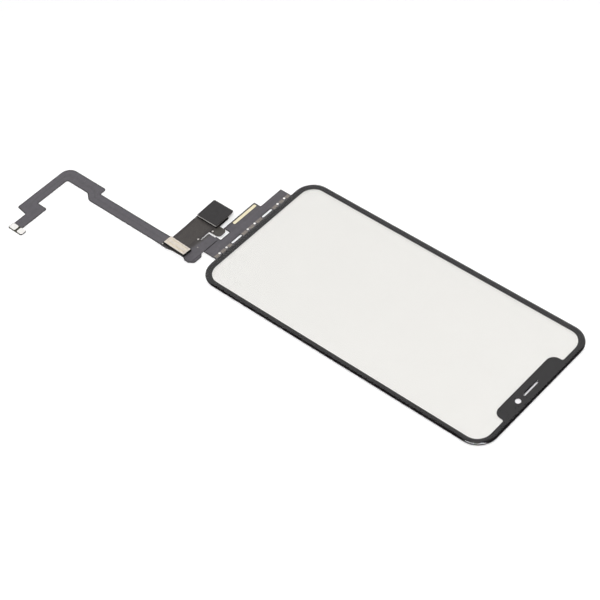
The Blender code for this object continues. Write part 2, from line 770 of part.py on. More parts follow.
def make_board_parts(parts):
    """The chip, its capacitors, the stiffeners and the black film, all tilted with the board."""
    tilt = bpy.data.objects.new("board_tilt", None)
    parts.objects.link(tilt)
    pivot_x = across(LIFT_START_X) - LIFT_BEND / 2
    tilt.location = (pivot_x, 0, 0)
    tilt.rotation_euler = (0, math.atan(LIFT_SLOPE), 0)

    def seated(name, finish, thickness, corners, z):
        solid = plate(name, parts, finish, thickness, corners, place=(-pivot_x, 0, z))
        solid.parent = tilt
        return solid

    chip_left = across(CHIP_LEFT_X)
    chip_near = below(CHIP_NEAR_REACH)
    chip = seated(
        "touch_chip",
        "chip",
        CHIP_THICKNESS,
        box_corners(chip_left, chip_left + CHIP_WIDTH, chip_near - CHIP_LENGTH, chip_near, 0),
        CHIP_Z,
    )
    bevel(chip, CHIP_BEVEL, 2)
    capacitor_x = across(CAPACITOR_X)
    middle_y = chip_near - CHIP_LENGTH / 2
    for index in range(CAPACITOR_COUNT):
        y = middle_y + (index - (CAPACITOR_COUNT - 1) / 2) * CAPACITOR_PITCH
        capacitor = seated(
            f"capacitor_{index + 1}",
            "ceramic",
            CAPACITOR_HEIGHT,
            box_corners(
                capacitor_x - CAPACITOR_WIDTH / 2,
                capacitor_x + CAPACITOR_WIDTH / 2,
                y - CAPACITOR_LENGTH / 2,
                y + CAPACITOR_LENGTH / 2,
                0,
            ),
            CHIP_Z,
        )
        bevel(capacitor, CHIP_BEVEL / 2, 1)
    seated(
        "board_stiffener",
        "steel",
        BOARD_STIFFENER_THICKNESS,
        box_corners(
            across(BOARD_STIFFENER_LEFT_X),
            across(BOARD_STIFFENER_RIGHT_X),
            below(BOARD_STIFFENER_FAR_REACH),
            below(BOARD_STIFFENER_NEAR_REACH),
            FLAP_PLATE_CORNER,
        ),
        CONTROLLER_Z - BOND_GAP - BOARD_STIFFENER_THICKNESS,
    )
    flap_end = across(FOLD_X) + FLAP_LENGTH
    far = below(FLAP_FAR_REACH)
    near = below(FLAP_NEAR_REACH)
    plate_z = FLAP_TOP + BOND_GAP
    seated(
        "flap_stiffener",
        "steel",
        FLAP_STIFFENER_THICKNESS,
        box_corners(
            across(TAPE_START_X),
            flap_end + FLAP_STIFFENER_PROUD,
            far + FLAP_STIFFENER_MARGIN,
            near - FLAP_STIFFENER_MARGIN,
            FLAP_PLATE_CORNER,
        ),
        plate_z,
    )
    seated(
        "flap_tape",
        "black_film",
        TAPE_THICKNESS,
        box_corners(across(TAPE_START_X), flap_end, far, near, FLAP_PLATE_CORNER),
        plate_z + FLAP_STIFFENER_THICKNESS + BOND_GAP,
    )


def make_test_pads(parts):
    """Small plated dots, each seated on the highest point of the circuit under it."""
    for number, (offset, reach, diameter) in enumerate(TEST_PADS, start=1):
        x = across(offset)
        y = below(reach)
        radius = diameter / 2
        around = [(x - radius, y), (x + radius, y), (x, y - radius), (x, y + radius)]
        height = max(lift(*place) for place in around)
        disc(
            f"test_pad_{number}",
            parts,
            "tin",
            diameter,
            PLATING_THICKNESS,
            (x, y, CONTROLLER_TOP + BOND_GAP + height),
        )


def make_circuit_joints(parts):
    """The bonds between the circuits that lap over each other."""
    lap = box_corners(
        across(LAP_BOND_LEFT_X),
        across(LAP_BOND_RIGHT_X),
        below(STRIP_LAP_REACH) + BOND_EDGE_MARGIN,
        below(LAP_BOND_NEAR_REACH),
        0,
    )
    plate("lap_bond", parts, "bond", BOND_THICKNESS, lap, place=(0, 0, LAP_Z))
    tail = box_corners(
        across(TAIL_BOND_LEFT_X),
        across(TAIL_BOND_RIGHT_X),
        below(TAIL_BOND_FAR_REACH),
        below(TAIL_BOND_NEAR_REACH),
        0,
    )
    plate("tail_bond", parts, "bond", BOND_THICKNESS, tail, place=(0, 0, LAP_Z))


def make_tail_flex(parts):
    """The long circuit: a head under the connector, two bends and a stub with the terminal."""
    corner = TAIL_CORNER
    terminal_right_x = across(TERMINAL_LEFT_X) + PAD_WIDTH + PAD_RIM
    terminal_far = TERMINAL_NEAR_REACH + sum(PAD_LENGTHS) + PAD_GAP + 2 * PAD_RIM
    outline = [
        (across(HEAD_LEFT_X), below(HEAD_LEFT_REACH), corner),
        (across(CROWN_LEFT_X), below(CROWN_LEFT_REACH), CROWN_LEFT_CORNER),
        (across(CROWN_RIGHT_X), below(CROWN_RIGHT_REACH), CROWN_RIGHT_CORNER),
        (across(SHOULDER_X), below(SHOULDER_REACH), SHOULDER_CORNER),
        (across(SHOULDER_X), below(SHOULDER_END), SHOULDER_CORNER),
        (across(WAIST_X), below(WAIST_REACH), SHOULDER_CORNER),
        (across(WAIST_X), below(WAIST_END), HIP_CORNER),
        (across(HIP_X), below(HIP_REACH), HIP_CORNER),
        (across(ARM_RIGHT_X), below(HIP_END), HIP_CORNER),
        (across(ARM_RIGHT_X), below(KINK_RIGHT_REACH), KINK_RIGHT_CORNER),
        (across(LEG_RIGHT_X), below(KINK_RIGHT_END), KINK_END_CORNER),
        (across(LEG_RIGHT_X), below(CROSS_NEAR_REACH), CROSS_CORNER),
        (across(STUB_LEFT_X), below(CROSS_NEAR_REACH), corner),
        (across(STUB_LEFT_X), below(STUB_NEAR_REACH), CROSS_CORNER),
        (across(TERMINAL_LEFT_X), below(STUB_NEAR_REACH), corner),
        (across(TERMINAL_LEFT_X), below(TERMINAL_NEAR_REACH), TERMINAL_CORNER),
        (terminal_right_x, below(TERMINAL_NEAR_REACH), TERMINAL_CORNER),
        (terminal_right_x, below(terminal_far), TERMINAL_CORNER),
        (across(TERMINAL_LEFT_X), below(terminal_far), corner),
        (across(TERMINAL_LEFT_X), below(STUB_FAR_REACH), corner),
        (across(CROSS_END_X), below(STUB_FAR_REACH), corner),
        (across(CROSS_END_X) - CROSS_SLANT, below(CROSS_FAR_REACH), CROSS_CORNER),
        (across(LEG_LEFT_X), below(CROSS_FAR_REACH), LEG_CORNER),
        (across(LEG_LEFT_X), below(KINK_LEFT_REACH), KINK_LEFT_CORNER),
        (across(ARM_LEFT_X), below(KINK_LEFT_REACH), corner),
        (across(ARM_LEFT_X), below(ARM_LEFT_REACH), corner),
        (across(HEAD_LEFT_X), below(HEAD_LEFT_END), corner),
    ]
    tail = plate(
        "tail_flex", parts, "grey_circuit", CIRCUIT_THICKNESS, outline, place=(0, 0, CIRCUIT_Z)
    )
    work = bmesh.new()
    work.from_mesh(tail.data)
    slice_sheet(work, "y", below(TAIL_SINK_START), TAIL_SINK_LENGTH, TAIL_SINK_CUTS)
    bmesh.ops.triangulate(work, faces=work.faces)
    for point in work.verts:
        point.co.z -= CIRCUIT_Z * smooth((below(TAIL_SINK_START) - point.co.y) / TAIL_SINK_LENGTH)
    work.to_mesh(tail.data)
    work.free()
    pad_x = across(TERMINAL_LEFT_X) + PAD_WIDTH / 2
    pad_z = CIRCUIT_THICKNESS + BOND_GAP
    reach = TERMINAL_NEAR_REACH + PAD_RIM
    for number, length in enumerate(PAD_LENGTHS, start=1):
        plate(
            f"terminal_pad_{number}",
            parts,
            "tin",
            PAD_THICKNESS,
            centred_box(PAD_WIDTH, length, PAD_CORNER),
            place=(pad_x, below(reach + length / 2), pad_z),
        )
        reach += length + PAD_GAP


def make_connector(parts, cutters):
    """The connector: stiffener, black base, cream insulator and its contacts."""
    pose = bpy.data.objects.new("connector_pose", None)
    parts.objects.link(pose)
    pose.location = (across(CONNECTOR_X), below(CONNECTOR_REACH), 0)
    pose.rotation_euler = (0, 0, CONNECTOR_TURN)

    def seated(solid):
        solid.parent = pose
        return solid

    seated(
        plate(
            "connector_stiffener",
            parts,
            "steel",
            CONNECTOR_STIFFENER_THICKNESS,
            centred_box(CONNECTOR_STIFFENER_WIDTH, CONNECTOR_STIFFENER_LENGTH, STRIP_CORNER),
            place=(0, 0, CIRCUIT_Z - BOND_GAP - CONNECTOR_STIFFENER_THICKNESS),
        )
    )
    base_z = CONTROLLER_TOP + BOND_GAP
    seated(
        plate(
            "connector_base",
            parts,
            "black_plastic",
            BASE_HEIGHT,
            centred_box(BASE_WIDTH, BASE_LENGTH, BASE_CORNER),
            place=(0, 0, base_z),
        )
    )
    housing_z = base_z + BASE_HEIGHT + BOND_GAP
    housing = seated(
        plate(
            "connector_housing",
            parts,
            "cream_plastic",
            HOUSING_HEIGHT,
            centred_box(HOUSING_WIDTH, HOUSING_LENGTH, HOUSING_CORNER),
            place=(0, 0, housing_z),
        )
    )
    bevel(housing, HOUSING_BEVEL, 2, angle=HOUSING_BEVEL_ANGLE)
    floor_z = housing_z + HOUSING_HEIGHT - GROOVE_DEPTH
    groove = seated(
        plate(
            "groove_cutter",
            cutters,
            "steel",
            GROOVE_DEPTH + CUTTER_MARGIN,
            centred_box(TONGUE_WIDTH + 2 * GROOVE_WIDTH, TONGUE_LENGTH + 2 * GROOVE_WIDTH, GROOVE_CORNER),
            holes=(centred_box(TONGUE_WIDTH, TONGUE_LENGTH, GROOVE_CORNER / 2),),
            place=(0, 0, floor_z),
        )
    )
    cut(housing, groove)
    foot = CONTACT_FOOT
    rise = CONTACT_RISE
    thick = CONTACT_THICKNESS
    section = [(0, 0, 0), (foot, 0, 0), (foot, thick, 0), (thick, thick, 0), (thick, rise, 0), (0, rise, 0)]
    number = 0
    for side in (-1, 1):
        for index in range(CONTACTS_PER_SIDE):
            number += 1
            y = (index - (CONTACTS_PER_SIDE - 1) / 2) * CONTACT_PITCH
            contact = plate(f"connector_contact_{number}", parts, "gold", CONTACT_WIDTH, section)
            contact.data.transform(Matrix.Rotation(math.pi / 2, 4, "X"))
            contact.data.transform(Matrix.Translation((0, CONTACT_WIDTH / 2, 0)))
            if side < 0:
                contact.data.transform(Matrix.Rotation(math.pi, 4, "Z"))
            contact.location = (side * (TONGUE_WIDTH / 2 + BOND_GAP), y, floor_z + BOND_GAP)
            seated(contact)


def main():
    clear_scene()
    parts = make_collection("front_glass_touch_panel")
    cutters = make_collection("cutters")
    make_cover_glass(parts, cutters)
    make_ink_border(parts)
    make_film_and_adhesive(parts)
    make_bonded_circuit(parts)
    make_controller_flex(parts)
    make_board_parts(parts)
    make_test_pads(parts)
    make_circuit_joints(parts)
    make_tail_flex(parts)
    make_connector(parts, cutters)


main()
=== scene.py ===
"""The looks of a phone's front glass and touch panel with its flat circuits, lying face up.

Metres, +Z up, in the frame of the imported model: the panel's centre is the origin, its circuits leave
it at the -Y end, and the floor is just under z = 0.
"""
import math

import bmesh
import bpy
import numpy as np
from mathutils import Matrix, Vector
from mathutils.bvhtree import BVHTree


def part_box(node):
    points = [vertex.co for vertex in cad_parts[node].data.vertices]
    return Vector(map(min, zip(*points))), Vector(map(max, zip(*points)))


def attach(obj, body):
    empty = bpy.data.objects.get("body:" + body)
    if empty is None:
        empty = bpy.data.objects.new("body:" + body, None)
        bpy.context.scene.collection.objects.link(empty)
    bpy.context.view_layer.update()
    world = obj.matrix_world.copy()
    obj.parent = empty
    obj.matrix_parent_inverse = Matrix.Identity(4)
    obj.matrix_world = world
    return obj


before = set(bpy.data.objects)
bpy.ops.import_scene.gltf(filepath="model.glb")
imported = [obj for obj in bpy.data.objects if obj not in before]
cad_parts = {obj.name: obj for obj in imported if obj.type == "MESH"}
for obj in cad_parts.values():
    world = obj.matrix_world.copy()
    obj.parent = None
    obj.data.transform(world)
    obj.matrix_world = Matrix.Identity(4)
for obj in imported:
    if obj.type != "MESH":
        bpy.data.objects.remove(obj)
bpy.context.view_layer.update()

MM = 0.001

# How the meshes of the CAD nodes are read
WELD = 0.001 * MM
UPWARD = 0.9
RAY_START = 1.0

# How lines are divided, smoothed and joined
LINE_STEP = 1.0 * MM
OUTLINE_STEP = 0.15 * MM
OUTLINE_SLACK = 0.012 * MM
LEAST_BEND = 0.004
LEAST_RUN = 10
LEAST_MITRE = 0.5

# Flat lines over the circuits: the film that covers the copper, and the lines that it shows
COVER_THICKNESS = 0.010 * MM
COVER_MARGIN = 0.40 * MM
LINE_THICKNESS = 0.005 * MM
SINK_FROM = -94.5 * MM
SINK_TO = -99.1 * MM
SINK_CUTS = 8

# Painted shade: a black pad round the chip, under the folded flap, that darkens the gap below the flap's
# edges and hangs a lip below its near edge
PAD_INSET = 0.12 * MM
PAD_GAP = 0.2 * MM
PAD_REACH = 0.15 * MM
PAD_START = 0.30
PAD_LIP = 0.45 * MM
PAD_BOARD_EDGE = 0.45 * MM

# Painted shade: a black skirt round the lower sides of the connector's cream insulator
SKIRT_THICKNESS = 0.05 * MM
SKIRT_HEIGHT = 0.36 * MM

# Painted shadow: a dark line along the lapped edge of the controller circuit
LAP_EDGE = 0.2 * MM
SHADE_LINE_WIDTH = 0.24 * MM
SHADE_LINE_HEIGHT = 0.06 * MM
SHADE_LINE_OVERRUN = 0.2 * MM

# Lines on the tail circuit
TAIL_LINE_INSETS = [0.80 * MM, 1.15 * MM, 1.50 * MM, 1.85 * MM, 2.20 * MM]
TAIL_LINE_WIDTH = 0.12 * MM
TAIL_LINES_FROM_Y = -93.0 * MM
TERMINAL_X = 57.25 * MM
TERMINAL_FADE = 0.2 * MM

# Fingers of the bonded joint, beside the glass edge
FIDUCIAL_COUNT = 6
FINGER_PITCH = 0.32 * MM
FINGER_WIDTH = 0.16 * MM
FINGER_COVERED = 0.3 * MM
FINGER_FAR_Y = -72.15 * MM
FINGER_ROW_END = 0.55 * MM
SLOT_CLEARANCE = 0.35 * MM
PAD_CLEARANCE = 0.30 * MM

# Lines on the bonded circuit: each leaves a finger, runs along the strip and turns into the lap
STRIP_LINE_WIDTH = 0.11 * MM
STRIP_LINE_OFFSETS = (-1.0 * MM, 0.0, 1.0 * MM)
STRIP_LINE_FIRST_Y = -75.55 * MM
STRIP_LINE_PITCH = 0.32 * MM
STRIP_LINE_END_X = 15.6 * MM
STRIP_LINE_END_PITCH = 0.6 * MM
STRIP_LINE_LAST_Y = -78.7 * MM
STRIP_LINE_BEND = 0.5 * MM
STRIP_LINE_LEAST_RUN = 3 * STRIP_LINE_BEND
STRIP_BEND_PIECES = 4

# Lines on the controller circuit, from the connector to the chip
BOARD_LINE_COUNT = 14
BOARD_LINE_WIDTH = 0.12 * MM
BOARD_LINE_FIRST_Y = -84.6 * MM
BOARD_LINE_PITCH = 0.52 * MM
BOARD_LINE_START_X = 10.8 * MM
BOARD_LINE_END_X = 23.6 * MM

# Frame of the gold contact
GROUND_FRAME_CLEARANCE = 0.02 * MM
GROUND_FRAME_WIDTH = 0.22 * MM
GROUND_FRAME_THICKNESS = 2 * COVER_THICKNESS
GROUND_FRAME_CORNER = 0.6 * MM
GROUND_STRIP_CORNER = 0.5 * MM

# Window in the border
WINDOW_HALF_WIDTH = 31.2 * MM
WINDOW_END_Y = -67.55 * MM
WINDOW_CORNER = 6.0 * MM

# Lines of the touch sensor, on the film behind the border
SENSOR_LINE_COUNT = 12
SENSOR_LINE_WIDTH = 0.04 * MM
SENSOR_LINE_PITCH = 0.08 * MM
SENSOR_LINE_INSET = 0.30 * MM
SENSOR_LINE_END = 0.05 * MM
SENSOR_LINE_BEND = 0.05 * MM
SENSOR_BEND_PIECES = 10
SENSOR_ROW_PITCH = 9.8 * MM
SENSOR_FIRST_ROW_Y = -56.0 * MM
SENSOR_DROP_X = 21.4 * MM
SENSOR_DROP_PITCH = 0.26 * MM
SENSOR_COLUMN_COUNT = 14
SENSOR_COLUMN_PITCH = 2.5 * MM
SENSOR_COLUMN_START = 0.1 * MM
SENSOR_LINE_HEIGHT = 0.004 * MM

# Clear sheets: their tint, least and most roughness, and the heights between which they are joined
GLASS_INDEX = 1.5
GLASS_TINT = (0.942, 0.931, 0.944, 1.0)
ADHESIVE_TINT = (0.97, 0.972, 0.955, 1.0)
FILM_TINT = (0.95, 0.952, 0.935, 1.0)
GLASS_ROUGH = (0.0, 0.012)
ADHESIVE_ROUGH = (0.0, 0.02)
FILM_ROUGH = (0.0, 0.03)
GLASS_FREE_ABOVE = 0.36 * MM
FILM_FREE_BELOW = 0.09 * MM
RIM_BLEND = 0.5 * MM
BLEND_SAMPLES = 8
SMEAR_SIZE = 30 * MM

# Cover films of the circuits: a dark and a light colour on a screen, the sizes of their spots, and
# their gloss and orange peel
SLATE = ((84, 81, 86), (92, 89, 94))
MARGIN = ((52, 50, 53), (60, 58, 60))
OLIVE = ((56, 54, 40), (68, 66, 50))
# Painted shade: the slate film drawn darker and browner over the board, which tilts away from the light
SHADED_BROWN = ((56, 51, 50), (64, 60, 58))
# Painted light: the tab drawn lighter than the board, for light that the flap keeps off it
LIT_TAB = ((68, 64, 60), (76, 73, 68))
COVER_SPOT = 1.6 * MM
COVER_ROUGH = (0.36, 0.46)
MARGIN_SPOT = 1.2 * MM
MARGIN_ROUGH = (0.38, 0.48)
FILM_SPECULAR = 0.3
FILM_GLOSS_SPOT = 2.0 * MM
FILM_PEEL = 0.35 * MM
FILM_PEEL_HEIGHT = 0.004 * MM
PEEL_DETAIL = 2.0

# Where the controller circuit's film is brown, painted shade of its slate film: below a slanting line, and
# on its tab; the tab's lighter brown past a line across it is painted light
BROWN_LINE_NORMAL = (0.102, 0.995)
BROWN_LINE = -79.6 * MM
BROWN_FADE = 0.8 * MM
BROWN_TAB_X = 13.2 * MM
TAB_END_Y = -82.2 * MM
TAB_FADE = 0.4 * MM

# Printed, moulded and laminated finishes: material, dark and light colour, size of the spots in mm,
# least and most roughness, size and height of the orange peel in mm, and specular level
COATINGS = {
    "ink": ("border_print", ((15, 12, 14), (21, 18, 20)), 4, (0.45, 0.6), 0.3, 0.002, 0.0),
    "slate": ("slate_cover", SLATE, 1.6, COVER_ROUGH, 0.35, 0.004, FILM_SPECULAR),
    "margin": ("cover_margin", MARGIN, 1.2, MARGIN_ROUGH, 0.35, 0.004, FILM_SPECULAR),
    "line": ("covered_line", ((94, 91, 96), (102, 99, 104)), 1.0, (0.3, 0.4), 0.3, 0.002, FILM_SPECULAR),
    # Lines over the board, darker and browner like the board's painted shade
    "brown_line": ("covered_board_line", ((70, 63, 58), (80, 73, 66)), 1.0, (0.3, 0.4), 0.3, 0.002, 0.5),
    "finger": ("bonded_finger", ((144, 134, 120), (174, 163, 150)), 0.8, (0.3, 0.45), 0.2, 0.002, 0.5),
    "bond": ("bond", ((128, 104, 72), (148, 124, 90)), 0.8, (0.5, 0.65), 0.2, 0.004, 0.5),
    "tape": ("black_tape", ((37, 34, 35), (43, 41, 42)), 1.8, (0.38, 0.5), 0.22, 0.005, FILM_SPECULAR),
    "chip": ("chip_body", ((28, 28, 29), (38, 38, 39)), 0.6, (0.5, 0.65), 0.08, 0.004, 0.5),
    "ceramic": ("capacitor_body", ((150, 126, 98), (174, 150, 120)), 0.4, (0.4, 0.5), 0.1, 0.003, 0.5),
    # Black plastic of the connector's base, drawn near black as partly painted shade; also the painted shade
    # skirt round its insulator
    "black_plastic": ("connector_black_and_shade", ((7, 6, 6), (13, 12, 11)), 0.8, (0.55, 0.7), 0.1, 0.004, 0.2),
    "cream_plastic": (
        "connector_cream", ((214, 204, 192), (228, 220, 209)), 0.9, (0.5, 0.65), 0.12, 0.005, 0.3
    ),
    "plated_pad": ("plated_pad", ((248, 245, 241), (253, 251, 248)), 0.5, (0.3, 0.45), 0.3, 0.004, 0.5),
    "frame": ("plating_window", ((46, 41, 34), (56, 51, 42)), 0.8, (0.4, 0.5), 0.3, 0.004, 0.5),
    # Painted shade: near black, for the pad under the flap and the line along the lap's edge
    "shade_black": ("painted_shade_black", ((4, 4, 4), (8, 8, 8)), 0.15, (0.8, 0.95), 0.1, 0.004, 0.1),
}

# A grain that isn't drawn out
EVEN = (1, 1, 1)

# Metals: material, dark and light colour, size of the spots in mm, least and most roughness, how far
# the grain is drawn out along each axis, and its height in mm
METALS = {
    "tin": ("tin_plating", ((236, 234, 228), (250, 249, 245)), 0.5, (0.3, 0.45), EVEN, 0.004),
    # Copies of the tin plating in darker steps, given to some pads one by one
    "darker_tin": ("darker_plating", ((176, 172, 168), (200, 196, 192)), 0.5, (0.35, 0.5), EVEN, 0.004),
    "dim_tin": ("dim_plating", ((214, 211, 206), (228, 226, 222)), 0.5, (0.35, 0.5), EVEN, 0.004),
    "darkest_tin": ("darkest_plating", ((142, 139, 137), (164, 161, 158)), 0.5, (0.4, 0.55), EVEN, 0.004),
    "gold": ("gold_plating", ((221, 211, 178), (232, 223, 198)), 0.8, (0.28, 0.42), (0.3, 1, 1), 0.004),
    "steel": ("rolled_steel", ((180, 177, 174), (198, 195, 192)), 0.8, (0.25, 0.4), (0.08, 1, 1), 0.003),
    "silver": ("sensor_silver", ((196, 194, 188), (214, 212, 206)), 0.6, (0.35, 0.5), EVEN, 0.002),
}

# Finish of each CAD node, by its name with or without its number
NODE_FINISH = {
    "cover_glass": "glass",
    "ink_border": "ink",
    "optical_adhesive": "adhesive",
    "touch_sensor_film": "film",
    "bond_strip": "bond",
    "bonding_flex": "margin",
    "fiducial_pad": "tin",
    "fiducial_pad_4": "dim_tin",
    "fiducial_pad_5": "dim_tin",
    "fiducial_pad_6": "dim_tin",
    "ground_strip": "gold",
    "lap_bond": "bond",
    "tail_bond": "bond",
    "controller_flex": "controller",
    "touch_chip": "chip",
    "capacitor": "ceramic",
    "board_stiffener": "steel",
    "flap_stiffener": "steel",
    "flap_tape": "tape",
    "test_pad": "darker_tin",
    "test_pad_3": "darkest_tin",
    "test_pad_4": "dim_tin",
    "connector_stiffener": "steel",
    "connector_base": "black_plastic",
    "connector_housing": "cream_plastic",
    "connector_contact": "gold",
    "tail_flex": "tail",
    "terminal_pad": "plated_pad",
}

# Floor and sweep
WHITE = (1.0, 1.0, 1.0, 1.0)
FLOOR_SIZE = 6.0
FLOOR_DEPTH = 0.02 * MM
FLOOR_COLOUR = (0.90, 0.90, 0.90, 1.0)
FLOOR_GLOW = 0.205
SKY_BRIGHT = 1.14
SKY_DARK = 0.05
SKY_AWAY = (-0.681, -0.733, 0.0)
SKY_FADE = (0.20, 0.38)

# Lamps: name, place, width, length along its rise, power, and whether it lights dull surfaces or is
# only seen in mirrors
LAMPS = (
    ("key_lamp", (0.54, 0.58, 1.50), 0.9, 1.05, 21.15, True),
    ("rim_panel", (0.985, 0.343, 1.575), 2.2, 1.06, 140.0, False),
)

# Camera
CAMERA_PLACE = (0.34258, 0.31926, 0.52172)
CAMERA_RIGHT = (-0.66209, 0.74442, -0.08643)
CAMERA_FORWARD = (-0.45916, -0.49409, -0.73827)
CAMERA_LENS = 110.61
CAMERA_SENSOR = 36.0
CAMERA_NEAR = 0.01


def colour(red, green, blue):
    """A colour as it reads on a screen, from 0 to 255, as linear light with alpha."""
    linear = []
    for value in (red, green, blue):
        share = value / 255
        linear.append(share / 12.92 if share <= 0.04045 else ((share + 0.055) / 1.055) ** 2.4)
    return (*linear, 1.0)


# Materials


def add(tree, kind, inputs=(), **settings):
    """A shader node with its settings, and with its inputs set or linked."""
    made = tree.nodes.new("ShaderNode" + kind)
    for key, value in settings.items():
        setattr(made, key, value)
    for key, value in dict(inputs).items():
        if isinstance(value, bpy.types.NodeSocket):
            tree.links.new(value, made.inputs[key])
        else:
            made.inputs[key].default_value = value
    return made


def start_material(name):
    """A new material with one Principled shader."""
    material = bpy.data.materials.new(name)
    material.use_nodes = True
    return material, material.node_tree, material.node_tree.nodes["Principled BSDF"]


def object_place(tree):
    """The socket with a place in the object's own frame, which is the row frame."""
    return add(tree, "TexCoord").outputs["Object"]


def place_parts(tree):
    """The sockets with the X, Y and Z of a place in the object's own frame."""
    return add(tree, "SeparateXYZ", {0: object_place(tree)}).outputs


def noise(tree, size, detail=3.0, stretch=(1, 1, 1)):
    """Soft spots of about this size, in metres, from 0 to 1."""
    place = add(tree, "Mapping", {"Vector": object_place(tree), "Scale": stretch}).outputs[0]
    return add(tree, "TexNoise", {"Vector": place, "Scale": 1 / size, "Detail": detail}).outputs["Fac"]


def ranged(tree, value, low, high, start=0.3, end=0.7):
    """A value between start and end as one between low and high."""
    made = add(
        tree,
        "MapRange",
        {"Value": value, "From Min": start, "From Max": end, "To Min": low, "To Max": high},
    )
    return made.outputs[0]


def between(tree, share, first, second):
    """A mix of two colours."""
    made = add(tree, "Mix", data_type="RGBA")
    for socket, value in ((made.inputs[0], share), (made.inputs[6], first), (made.inputs[7], second)):
        if isinstance(value, bpy.types.NodeSocket):
            tree.links.new(value, socket)
        else:
            socket.default_value = value
    return made.outputs[2]


def spotted(tree, shades, size):
    """A dark and a light screen colour, mixed in soft spots of about this size."""
    dark, light = shades
    return between(tree, ranged(tree, noise(tree, size), 0.0, 1.0), colour(*dark), colour(*light))


def math_node(tree, operation, first, second):
    """The result of a sum or comparison of two values."""
    return add(tree, "Math", {0: first, 1: second}, operation=operation).outputs[0]


def roughen(tree, shader, low, high, size):
    """Uneven gloss, in spots of about this size."""
    tree.links.new(ranged(tree, noise(tree, size), low, high), shader.inputs["Roughness"])


def emboss(tree, shader, value, height):
    """Raise the surface by up to this height where the value is 1."""
    bump = add(tree, "Bump", {"Height": value, "Strength": 1.0, "Distance": height})
    tree.links.new(bump.outputs[0], shader.inputs["Normal"])


def coated(name, shades, spot, rough, peel, peel_height, specular):
    """A printed, moulded or laminated surface: uneven colour and gloss, and a fine orange peel."""
    material, tree, shader = start_material(name)
    tree.links.new(spotted(tree, shades, spot * MM), shader.inputs["Base Color"])
    shader.inputs["Specular IOR Level"].default_value = specular
    roughen(tree, shader, *rough, spot * MM / 2)
    emboss(tree, shader, noise(tree, peel * MM, detail=PEEL_DETAIL), peel_height * MM)
    return material


def metal(name, shades, spot, rough, stretch, grain_height):
    """A plated or rolled metal surface, with a grain drawn out along one axis."""
    material, tree, shader = start_material(name)
    tree.links.new(spotted(tree, shades, spot * MM), shader.inputs["Base Color"])
    shader.inputs["Metallic"].default_value = 1.0
    roughen(tree, shader, *rough, spot * MM)
    emboss(tree, shader, noise(tree, spot * MM / 2, stretch=stretch), grain_height * MM)
    return material


def clear(name, tint, rough, free_above=None, free_below=None, smooth=None):
    """A clear sheet that lets the lamps' light through to what lies under it.

    Light bends and reflects only at the faces that are free, above or below a height. The others are
    joined to the next layer of the same kind. The facets of a curved rim blend over the smooth radius.
    """
    material, tree, shader = start_material(name)
    shader.inputs["Base Color"].default_value = tint
    shader.inputs["Transmission Weight"].default_value = 1.0
    shader.inputs["IOR"].default_value = 1.0
    if free_above is not None or free_below is not None:
        kind, limit = ("GREATER_THAN", free_above) if free_below is None else ("LESS_THAN", free_below)
        free = math_node(tree, kind, place_parts(tree)[2], limit)
        shader.inputs["IOR"].default_value = GLASS_INDEX
        tree.links.new(ranged(tree, free, 1.0, GLASS_INDEX, 0.0, 1.0), shader.inputs["IOR"])
    roughen(tree, shader, *rough, SMEAR_SIZE)
    if smooth is not None:
        blend = add(tree, "Bevel", {"Radius": smooth}, samples=BLEND_SAMPLES)
        tree.links.new(blend.outputs[0], shader.inputs["Normal"])
    through = add(tree, "BsdfTransparent", {"Color": [math.sqrt(value) for value in tint]})
    path = add(tree, "LightPath")
    lighting = math_node(tree, "MAXIMUM", path.outputs["Is Shadow Ray"], path.outputs["Is Diffuse Ray"])
    mixed = add(tree, "MixShader", {0: lighting, 1: shader.outputs[0], 2: through.outputs[0]})
    tree.links.new(mixed.outputs[0], tree.nodes["Material Output"].inputs[0])
    return material


def finish_film(tree, shader, rough):
    """The soft gloss and fine orange peel of a circuit's cover film."""
    shader.inputs["Specular IOR Level"].default_value = FILM_SPECULAR
    roughen(tree, shader, *rough, FILM_GLOSS_SPOT)
    emboss(tree, shader, noise(tree, FILM_PEEL, detail=PEEL_DETAIL), FILM_PEEL_HEIGHT)


def controller_cover():
    """The controller circuit's film: slate beside the lap, a brown of painted shade over the board, and a
    lighter brown of painted light on the tab.
    """
    material, tree, shader = start_material("controller_cover")
    x, y, _ = place_parts(tree)
    along = math_node(tree, "MULTIPLY", x, BROWN_LINE_NORMAL[0])
    across = math_node(tree, "MULTIPLY", y, BROWN_LINE_NORMAL[1])
    beyond = math_node(tree, "ADD", along, across)
    past_line = ranged(tree, beyond, 0.0, 1.0, BROWN_LINE - BROWN_FADE, BROWN_LINE + BROWN_FADE)
    past_tab = ranged(tree, x, 0.0, 1.0, BROWN_TAB_X, BROWN_TAB_X + BROWN_FADE)
    slate_share = math_node(tree, "MINIMUM", past_line, past_tab)
    on_lit_tab = ranged(tree, y, 0.0, 1.0, TAB_END_Y - TAB_FADE, TAB_END_Y + TAB_FADE)
    slate, board, tab = (spotted(tree, shades, COVER_SPOT) for shades in (SLATE, SHADED_BROWN, LIT_TAB))
    brown = between(tree, on_lit_tab, board, tab)
    tree.links.new(between(tree, slate_share, brown, slate), shader.inputs["Base Color"])
    finish_film(tree, shader, COVER_ROUGH)
    return material


def tail_margin():
    """The bare edge of the tail circuit's film: dark slate, and olive round the terminal's pads."""
    material, tree, shader = start_material("tail_margin")
    at_terminal = ranged(tree, place_parts(tree)[0], 0.0, 1.0, TERMINAL_X - TERMINAL_FADE, TERMINAL_X)
    margin, olive = (spotted(tree, shades, MARGIN_SPOT) for shades in (MARGIN, OLIVE))
    tree.links.new(between(tree, at_terminal, margin, olive), shader.inputs["Base Color"])
    finish_film(tree, shader, MARGIN_ROUGH)
    return material


